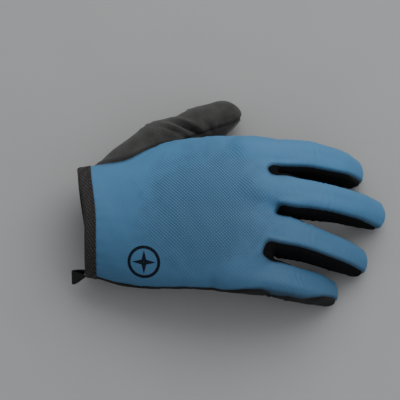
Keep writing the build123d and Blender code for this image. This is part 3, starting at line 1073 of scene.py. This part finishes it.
def cuff_ring(count, x, out):
    """Points around the wrist at a forward place and a distance out of the skin, evenly spaced."""
    angle = np.linspace(0, 2 * math.pi, 721)
    y, z, a, b, _ = palm_at(np.array(x))
    ring = np.stack([a * np.sin(angle), b * np.cos(angle)], axis=1)
    run = run_along(ring)
    t = np.interp(np.linspace(0, run[-1], count + 1)[:-1], run, angle)
    normal = units(np.stack([b * np.sin(t), a * np.cos(t)], axis=1))
    flat = np.stack([a * np.sin(t), b * np.cos(t)], axis=1) + normal * np.reshape(out, (-1, 1))
    return lean(np.column_stack([np.full(count, x), flat + (y, z)]) + WRIST), run[-1]


def binding():
    """The elastic folded over the raw edge: two ribbed faces and a round fold between them."""
    low, high = box_mm("cuff_binding")
    width = high[0] - low[0]
    count, outer, inner = 840, 0.95, -1.85
    half = (outer - inner) / 2
    section = [(width, 0.12), (width, outer * 0.8)]
    section += [(width - 0.5 - s * (width - 0.5 - half), outer) for s in np.linspace(0, 1, 12)]
    middle = (outer + inner) / 2
    section += [(half - half * math.sin(t), middle + half * math.cos(t)) for t in np.linspace(0.2, 2.94, 12)]
    section += [(half + s * (width - 0.9 - half), inner) for s in np.linspace(0, 1, 8)]
    section += [(width - 0.4, inner * 0.75), (width - 0.4, -1.0)]
    rows = []
    steps = np.arange(count)
    for k, (x, out) in enumerate(section):
        rib = 0.34 * np.abs(np.sin((steps * 0.25 + k * 0.30) * math.pi / 2.2))
        stitch = 0.22 * math.exp(-(((x - width + 1.5) / 0.45) ** 2)) if out > 0 else 0.0
        rim = 0.0 if k in (0, len(section) - 1) else 1.0
        out = out + (rib - 0.1 - stitch) * rim * np.sign(out + 0.45)
        rows.append(cuff_ring(count, low[0] - WRIST[0] + x, out)[0])
    faces = grid_faces(len(section), count, closed_rows=True, closed_columns=True)
    points = np.vstack(rows)
    uv = np.array([(k * 0.0006, s * 0.00025) for k in range(len(section)) for s in range(count)])
    piece = make_mesh("cuff_elastic", points, faces, uv=uv[faces.ravel()])
    finish_piece(piece, "cuff_elastic", "cuff_binding")


def thread(name, path_points, normals, slot, length=2.0, gap=0.7, radius=0.26):
    """A row of sewn stitches: short humps of thread that dive into the cloth at both ends."""
    path_points = np.array(path_points)
    run = run_along(path_points)
    points, faces = [], []
    start = 0.3
    while start + length < run[-1]:
        first = len(points)
        for share in np.linspace(0, 1, 7):
            s = start + share * length
            centre, ahead, behind = (row_at(place, run, path_points) for place in (s, s + 0.1, s - 0.1))
            out = unit(row_at(s, run, normals))
            side = unit(np.cross(out, ahead - behind))
            lift = radius * (1.9 * math.sin(share * math.pi) - 0.9)
            wide = radius * (0.75 + 0.25 * math.sin(share * math.pi))
            for turn in np.linspace(0, 2 * math.pi, 7)[:-1]:
                points.append(centre + out * (lift + wide * math.sin(turn)) + side * wide * math.cos(turn))
        faces.extend((grid_faces(7, 6, closed_columns=True)[:, ::-1] + first).tolist())
        faces.append([first + k for k in range(6)])
        faces.append([first + 36 + k for k in reversed(range(6))])
        start += length + gap
    piece = make_mesh(name, points, faces)
    finish_piece(piece, slot)


def cuff_stitches():
    width = box_mm("cuff_binding")[1][0] - WRIST[0]
    ring, _ = cuff_ring(600, width - 1.5, 0.92)
    centre = ring.mean(0)
    ring = np.vstack([ring, ring[:1]])
    normals = (ring - centre) * (0, 1, 2.4)
    thread("cuff_stitches", ring, normals, "cuff_elastic", length=2.2, gap=0.8, radius=0.24)


def patch_stitches():
    """Two rows of thread around the palm reinforcement."""
    tree = outer_tree()
    for row, inset in enumerate((3.0, 5.0)):
        path = inset_outline(OUTLINE, inset)
        places, normals = laid(tree, path, (0, 0, 1.0), 0.55)
        thread(f"patch_stitches_{row + 1}", places, normals, "reinforcement_suede")


def inset_outline(outline, inset):
    """Points every half millimetre along the outline moved inwards, below the palm."""
    points = np.array(outline)
    ahead = units(np.roll(points, -1, axis=0) - points)
    behind = np.roll(ahead, 1, axis=0)
    inward = units(np.stack([-(ahead + behind)[:, 1], (ahead + behind)[:, 0]], axis=1))
    share = (inward * np.stack([-ahead[:, 1], ahead[:, 0]], axis=1)).sum(1)
    moved = points + inward * (inset / share)[:, None]
    path = []
    for a, b in zip(moved, np.roll(moved, -1, axis=0)):
        steps = int(np.linalg.norm(b - a) / 0.5)
        path += [a + (b - a) * k / steps for k in range(steps)]
    return [(x, y, 0.0) for x, y in path]


def strap(name, path, width, thickness, slot, node, sides, ribs=0.0):
    """A flat band along a path, with rounded edges; sides point across the band."""
    path = np.array(path)
    ahead = units(np.gradient(path, axis=0))
    sides = np.array(sides)
    out = np.cross(ahead, sides)
    half, edge = width / 2, thickness / 2
    section = [(-half + edge * (1 - math.cos(t)), edge * math.sin(t)) for t in np.linspace(0, math.pi / 2, 4)]
    section += [(x, edge) for x in np.linspace(-half + 2 * edge, half - 2 * edge, 15)]
    section += [(half - edge * (1 - math.cos(t)), edge * math.sin(t)) for t in np.linspace(math.pi / 2, 0, 4)]
    section += [(x, -z) for x, z in section[::-1][1:-1]]
    rows = []
    for k, p in enumerate(path):
        rib = ribs * (k % 2)
        lifted = [(x, z + math.copysign(rib, z) * (abs(z) > edge * 0.9)) for x, z in section]
        rows.append([p + sides[k] * x + out[k] * z for x, z in lifted])
    n = len(section)
    faces = grid_faces(len(path), n, closed_columns=True).tolist()
    faces.append(list(range(n))[::-1])
    faces.append([(len(path) - 1) * n + k for k in range(n)])
    points = np.vstack(rows)
    piece = make_mesh(name, points, faces)
    return finish_piece(piece, slot, *node)


def pull_tab():
    """A folded loop of webbing sewn to the cuff on the little finger's side."""
    low, high = box_mm("pull_tab")
    centre = (low + high) / 2
    out = unit((centre - WRIST) * (0, 1, 1))
    side = np.cross((1.0, 0, 0), out)
    reach = WRIST[0] - low[0]
    base = WRIST + out * ((centre - WRIST) @ out)
    path = [(5.0 - share * (5.0 + reach - 1.4), 1.5 - 0.55 * share) for share in np.linspace(0, 1, 14)]
    turn = np.linspace(0.25, math.pi - 0.25, 9)
    path += [(-reach + 1.4 - 1.0 * math.sin(t), 0.85 * math.cos(t) + 0.1) for t in turn]
    path += [(-reach + 1.4 + share * (3.6 + reach), -0.75 - 1.35 * share) for share in np.linspace(0, 1, 14)]
    twists = [TAB_TWIST * smoothstep(1.5, -reach, x) for x, _ in path]
    outs = [out * math.cos(t) - side * math.sin(t) for t in twists]
    sides = [side * math.cos(t) + out * math.sin(t) for t in twists]
    droop = [out * 2.2 * smoothstep(1.5, -reach, x) for x, _ in path]
    points = [base + (x, 0, 0) + way * off + down for (x, off), way, down in zip(path, outs, droop)]
    strap("webbing_tab", points, 9.0, 0.8, "webbing", ["pull_tab"], sides, ribs=0.06)


def care_label():
    """A blank folded satin label under the back, at the cuff."""
    low, high = box_mm("care_label")
    x0, x1 = low[0], high[0]
    y = (low[1] + high[1]) / 2
    half = (high[1] - low[1]) / 2
    rows = []
    for share in np.linspace(0, 1, 24):
        x = x0 + share * (x1 - x0)
        for t in np.linspace(-1, 1, 31):
            _, middle, a, b, _ = palm_at(x - WRIST[0])
            roof = WRIST[2] + middle + b * math.sqrt(1 - (t * half / a) ** 2) - THICKNESS
            sag = 0.45 + 0.8 * share**2 + 0.25 * share * math.sin(t * 3.0)
            rows.append((x, y + t * half * 0.98, roof - sag))
    top_face = np.array(rows)
    count = len(rows)
    faces = grid_faces(24, 31)
    far, near = range(61, count, 31), range(count - 62, 0, -31)
    ring = np.array([*range(0, 31), *far, *range(count - 2, count - 32, -1), *near])
    rim = np.stack([ring, np.roll(ring, -1), np.roll(ring, -1) + count, ring + count], axis=1)
    both = np.vstack([top_face, top_face - (0, 0, 0.22)])
    piece = make_mesh("blank_label", both, np.vstack([faces[:, ::-1], faces + count, rim]))
    finish_piece(piece, "label", "care_label")


# Materials


class Shader:
    """A node material with short calls for the nodes used here."""

    def __init__(self, name, roughness, sheen=0.0, tint=(1, 1, 1), metallic=0.0):
        self.material = bpy.data.materials.new(name)
        self.material.use_nodes = True
        self.tree = self.material.node_tree
        self.surface = self.tree.nodes["Principled BSDF"]
        self.surface.inputs["Roughness"].default_value = roughness
        self.surface.inputs["Metallic"].default_value = metallic
        self.surface.inputs["Specular IOR Level"].default_value = 0.25
        self.surface.inputs["Sheen Weight"].default_value = sheen
        self.surface.inputs["Sheen Roughness"].default_value = 0.5
        self.surface.inputs["Sheen Tint"].default_value = (*tint, 1)

    def node(self, kind, inputs=None, **settings):
        node = self.tree.nodes.new(kind)
        for key, value in settings.items():
            setattr(node, key, value)
        for key, value in (inputs or {}).items():
            if isinstance(value, bpy.types.NodeSocket):
                self.tree.links.new(value, node.inputs[key])
            else:
                node.inputs[key].default_value = value
        return node

    def math(self, operation, a, b=0.0, clamp=False):
        return self.node("ShaderNodeMath", {0: a, 1: b}, operation=operation, use_clamp=clamp).outputs[0]

    def add(self, a, b):
        return self.math("ADD", a, b)

    def times(self, a, b):
        return self.math("MULTIPLY", a, b)

    def place(self):
        """The place on the object, in millimetres."""
        coordinates = self.node("ShaderNodeTexCoord").outputs["Object"]
        return self.node("ShaderNodeVectorMath", {0: coordinates, 3: 1000.0}, operation="SCALE").outputs[0]

    def cloth(self, turn):
        """The place on the flat cloth, in millimetres, turned by an angle."""
        uv = self.node("ShaderNodeUVMap", uv_map="cloth").outputs[0]
        scaled = self.node("ShaderNodeVectorMath", {0: uv, 3: 1000.0}, operation="SCALE").outputs[0]
        turned = self.node("ShaderNodeVectorRotate", {"Vector": scaled, "Angle": math.radians(turn)})
        return self.node("ShaderNodeSeparateXYZ", {0: turned.outputs[0]})

    def noise(self, vector, scale, detail=3.0):
        node = self.node("ShaderNodeTexNoise", {"Vector": vector, "Scale": scale, "Detail": detail})
        return node.outputs[0]

    def cells(self, vector, scale):
        """The distance to the edge of small irregular cells."""
        inputs = {"Vector": vector, "Scale": scale}
        return self.node("ShaderNodeTexVoronoi", inputs, feature="DISTANCE_TO_EDGE").outputs[0]

    def ramp(self, value, low, high):
        """Value between low and high as 0 to 1."""
        node = self.node("ShaderNodeMapRange", {0: value, 1: low, 2: high}, interpolation_type="SMOOTHSTEP")
        return node.outputs[0]

    def mix(self, share, a, b):
        node = self.node("ShaderNodeMix", {0: share}, data_type="RGBA")
        for key, value in ((6, a), (7, b)):
            if isinstance(value, bpy.types.NodeSocket):
                self.tree.links.new(value, node.inputs[key])
            else:
                node.inputs[key].default_value = (*value, 1)
        return node.outputs[2]

    def wave(self, value, pitch):
        """A wave between 0 and 1 with one crest in each pitch."""
        turned = self.math("SINE", self.times(value, 2 * math.pi / pitch))
        return self.add(self.times(turned, 0.5), 0.5)

    # The painted shade along the seams and in the thumb's folds, read from the mesh's seam attribute.
    def seam(self):
        return self.node("ShaderNodeAttribute", attribute_name="seam").outputs["Fac"]

    def finish(self, colour, height, depth, strength=0.6):
        self.tree.links.new(colour, self.surface.inputs["Base Color"])
        bump = self.node("ShaderNodeBump", {"Height": height, "Distance": depth * MM, "Strength": strength})
        self.tree.links.new(bump.outputs[0], self.surface.inputs["Normal"])
        return self.material


# KNIT_DARK is the colour of the knit's holes, and also the colour the painted shade on the -y side leads to.
KNIT_LIGHT = (0.050, 0.174, 0.335)
KNIT_DARK = (0.018, 0.052, 0.097)
KNIT_DEEP = (0.027, 0.088, 0.165)
KNIT_PALE = (0.12, 0.29, 0.47)
KNIT_PITCH = 1.35  # between the rows of holes
OPEN_KNIT = (12.0, 13.0, -38.0)  # the middle of the more open knit, as a shift of the place


def back_knit():
    """Thin sports knit: a diagonal lattice of small holes with raised yarn between them, with painted shade
    towards -y and along the seams.
    """
    shader = Shader("back_knit", 0.62, sheen=0.10, tint=(0.3, 0.7, 1.0))
    place = shader.place()
    cloth = shader.cloth(-45)
    one, two = (shader.wave(cloth.outputs[k], KNIT_PITCH) for k in (0, 1))
    lattice = shader.times(one, two)
    height = shader.add(shader.times(one, 0.45), shader.times(lattice, 0.55))
    broad = shader.noise(place, 0.045, 2.0)
    fibre = shader.noise(place, 2.2, 3.0)
    from_middle = shader.node("ShaderNodeVectorMath", {0: place, 1: OPEN_KNIT}, operation="ADD").outputs[0]
    away = shader.node("ShaderNodeVectorMath", {0: from_middle}, operation="LENGTH").outputs["Value"]
    edge = shader.add(away, shader.times(shader.noise(place, 0.12, 2.0), 26.0))
    clear = shader.ramp(edge, 62.0, 34.0)
    shown = shader.times(shader.math("SUBTRACT", height, 0.42), shader.add(clear, 0.12))
    dim = shader.times(clear, -0.36)
    tone = shader.add(shader.times(shown, 1.3), shader.add(dim, 0.92))
    # Painted shade: the knit turns darker towards -y, the side turned away from the key light.
    low = shader.ramp(shader.node("ShaderNodeSeparateXYZ", {0: place}).outputs[1], 25.0, -62.0)
    tone = shader.math("SUBTRACT", tone, shader.times(low, 0.68))
    height = shader.times(height, shader.add(shader.times(clear, 0.6), 0.4))
    colour = shader.mix(shader.math("MAXIMUM", tone, 0.0, clamp=True), KNIT_DARK, KNIT_LIGHT)
    colour = shader.mix(shader.times(broad, 0.4), colour, KNIT_DEEP)
    colour = shader.mix(shader.times(fibre, 0.13), colour, KNIT_PALE)
    # Painted shade along the seams.
    colour = shader.mix(shader.times(shader.seam(), 0.75), colour, (0.004, 0.008, 0.014))
    detail = shader.add(height, shader.times(fibre, 0.35))
    return shader.finish(colour, detail, 0.22)


def ribbed(name, dark, light, pitch, depth, roughness=0.8, sheen=0.2, turn=90.0):
    """A plain ribbed knit or webbing: fine ribs crossed by finer courses."""
    shader = Shader(name, roughness, sheen=sheen)
    cloth = shader.cloth(turn)
    ribs = shader.wave(cloth.outputs[0], pitch)
    courses = shader.wave(cloth.outputs[1], pitch * 0.7)
    fibre = shader.noise(shader.place(), 2.5, 4.0)
    height = shader.add(shader.times(ribs, courses), shader.times(fibre, 0.5))
    colour = shader.mix(shader.ramp(height, 0.1, 1.2), dark, light)
    return shader.finish(colour, height, depth)


def suede(name, dark, light, depth, roughness=0.88, sheen=0.1):
    """Synthetic suede: short nap with cloudy brushed patches, and a leathery grain below."""
    shader = Shader(name, roughness, sheen=sheen)
    place = shader.place()
    cloud = shader.noise(place, 0.09, 3.0)
    nap = shader.noise(place, 3.0, 4.0)
    grain = shader.cells(place, 0.75)
    height = shader.add(shader.ramp(grain, 0.0, 0.25), shader.times(nap, 1.1))
    tone = shader.add(shader.times(cloud, 0.9), shader.times(nap, 0.35))
    colour = shader.mix(shader.ramp(tone, 0.35, 0.85), dark, light)
    return shader.finish(colour, height, depth)


def fleece():
    """Brushed terry on the thumb: short lying fibres in paler and darker clouds, with painted shade in the
    folds and along the seams.
    """
    shader = Shader("thumb_fleece", 0.92, sheen=0.12)
    place = shader.place()
    lying = {0: place, 1: (0.6, 1.6, 1.6)}
    stretched = shader.node("ShaderNodeVectorMath", lying, operation="MULTIPLY").outputs[0]
    fibre = shader.noise(stretched, 2.0, 5.0)
    cloud = shader.noise(place, 0.11, 3.0)
    speck = shader.noise(place, 4.5, 2.0)
    tone = shader.add(shader.times(fibre, 0.7), shader.times(cloud, 0.5))
    colour = shader.mix(shader.ramp(tone, 0.35, 0.85), (0.013, 0.0125, 0.012), (0.046, 0.044, 0.042))
    # Painted shade in the folds and along the seams.
    colour = shader.mix(shader.times(shader.seam(), 0.8), colour, (0.006, 0.006, 0.006))
    height = shader.add(fibre, shader.times(speck, 0.5))
    return shader.finish(colour, height, 0.4)


def printed():
    shader = Shader("print", 0.6)
    place = shader.place()
    wear = shader.noise(place, 1.2, 4.0)
    colour = shader.mix(shader.ramp(wear, 0.35, 0.75), (0.003, 0.005, 0.010), (0.008, 0.011, 0.018))
    return shader.finish(colour, wear, 0.08)


def foam():
    shader = Shader("foam", 0.9)
    place = shader.place()
    cells = shader.cells(place, 1.1)
    colour = shader.mix(shader.ramp(cells, 0.0, 0.3), (0.03, 0.03, 0.032), (0.075, 0.075, 0.08))
    return shader.finish(colour, cells, 0.4)


def satin():
    shader = Shader("label", 0.45, sheen=0.3)
    place = shader.place()
    split = shader.node("ShaderNodeSeparateXYZ", {0: place})
    weft = shader.wave(split.outputs[0], 0.35)
    cloud = shader.noise(place, 0.2, 2.0)
    tone = shader.add(shader.times(weft, 0.5), shader.times(cloud, 0.5))
    colour = shader.mix(tone, (0.55, 0.54, 0.51), (0.78, 0.77, 0.74))
    return shader.finish(colour, weft, 0.05)


MATERIALS = {
    "back_knit": back_knit(),
    "side_knit": ribbed("side_knit", (0.0015, 0.0015, 0.002), (0.008, 0.008, 0.009), 0.9, 0.2, 0.9, 0.0),
    "palm_suede": suede("palm_suede", (0.004, 0.004, 0.0045), (0.016, 0.016, 0.017), 0.25, 0.9, 0.04),
    "reinforcement_suede": suede(
        "reinforcement_suede", (0.01, 0.01, 0.011), (0.03, 0.03, 0.032), 0.22, 0.85, 0.08
    ),
    "thumb_fleece": fleece(),
    "cuff_elastic": ribbed("cuff_elastic", (0.002,) * 3, (0.042, 0.035, 0.032), 2.2, 0.3, 0.7, 0.05, 35.0),
    "webbing": suede("webbing", (0.003,) * 3, (0.014,) * 3, 0.2, 0.8, 0.0),
    "print": printed(),
    "foam": foam(),
    "label": satin(),
    "touch_fabric": suede("touch_fabric", (0.030, 0.031, 0.033), (0.085, 0.087, 0.09), 0.12, 0.6),
}

DULL = 0.07  # the blacks reflect hardly any of the sky
for black in ("side_knit", "palm_suede", "print"):
    MATERIALS[black].node_tree.nodes["Principled BSDF"].inputs["Specular IOR Level"].default_value = DULL


# The whole glove

FINGER_SLOTS = {"back": "back_knit", "sides": "side_knit", "front": "palm_suede"}
for name in FINGERS:
    limb_cloth(name, 1, ("base", "mid", "tip"), FINGER_SLOTS)
limb_cloth("thumb", 0, ("root", "base", "tip"), {"back": "thumb_fleece", "front": "thumb_fleece"})
hand_cloth()
reinforcement()
heel_pads()
touch_patches()
compass()
binding()
cuff_stitches()
patch_stitches()
pull_tab()
care_label()


# Floor, light and camera


def stage_floor():
    size, level = 3.0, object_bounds()[0][2]
    corners = [(-size, -size, level), (size, -size, level), (size, size, level), (-size, size, level)]
    mesh = bpy.data.meshes.new("floor")
    mesh.from_pydata(corners, [], [(0, 1, 2, 3)])
    floor = place_in_scene("floor", mesh)
    shader = Shader("floor", 0.9)
    grain = shader.noise(shader.place(), 0.02, 2.0)
    colour = shader.mix(grain, (0.275, 0.275, 0.277), (0.295, 0.295, 0.297))
    floor.data.materials.append(shader.finish(colour, grain, 0.01, 0.05))


def area_light(name, place, target, size, energy, colour=(1, 1, 1)):
    light = bpy.data.lights.new(name, "AREA")
    light.shape = "DISK"
    light.size = size
    light.energy = energy
    light.color = colour
    obj = place_in_scene(name, light)
    obj.location = place
    obj.rotation_euler = (Vector(target) - Vector(place)).to_track_quat("-Z", "Y").to_euler()


def lights():
    target = (0.0, 0.0, 0.02)
    area_light("key", (0.40, 0.70, 0.95), target, 1.6, 14.0, (1.0, 0.99, 0.97))
    area_light("fill", (0.9, -0.5, 0.7), target, 1.4, 3.0, (0.95, 0.97, 1.0))
    world = bpy.data.worlds.new("world")
    world.use_nodes = True
    world.node_tree.nodes["Background"].inputs[0].default_value = (0.94, 0.965, 1.0, 1)
    world.node_tree.nodes["Background"].inputs[1].default_value = 0.68
    bpy.context.scene.world = world


def camera():
    """A long lens on the back of the hand, tipped a little towards the little finger's side."""
    elevation, distance, width = math.radians(68), 2.0, 0.232
    target = Vector((-0.0171, -0.0012, 0.021))
    data = bpy.data.cameras.new("camera")
    data.sensor_width = 36
    data.lens = 36 * distance / width
    obj = place_in_scene("camera", data)
    obj.location = target + Vector((0, -math.cos(elevation), math.sin(elevation))) * distance
    obj.rotation_euler = (math.pi / 2 - elevation, 0, 0)
    bpy.context.scene.camera = obj


stage_floor()
lights()
camera()
